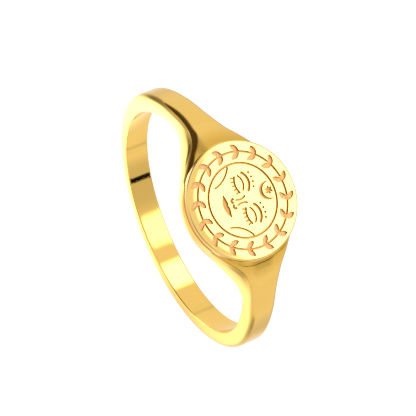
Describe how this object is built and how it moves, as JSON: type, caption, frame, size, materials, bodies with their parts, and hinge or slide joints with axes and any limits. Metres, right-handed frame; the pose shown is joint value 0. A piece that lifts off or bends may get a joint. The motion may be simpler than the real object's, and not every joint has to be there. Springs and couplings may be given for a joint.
{
  "type": "signet ring",
  "caption": "Small polished gold finger ring with tapered shoulders and a round engraved signet table showing a calm face in a leafy vine border.",
  "frame": {"origin": "centre of the finger bore", "axes": "+Y along the finger bore, +Z straight out of the signet face, X across the finger through both shoulders"},
  "size_m": [0.0198, 0.0082, 0.0203],
  "materials": {
    "gold_body": "high polish yellow gold",
    "gold_table": "high polish yellow gold, matte in the engraved cuts",
    "gold_solder": "polished gold solder, slightly paler than the metal"
  },
  "bodies": {
    "root": {"head": "gold_body", "shank_left": "gold_body", "shank_right": "gold_body", "shoulder_solder_left": "gold_solder", "shoulder_solder_right": "gold_solder", "signet_table": "gold_table", "sizing_seam_solder": "gold_solder", "table_solder": "gold_solder"}
  },
  "joints": []
}
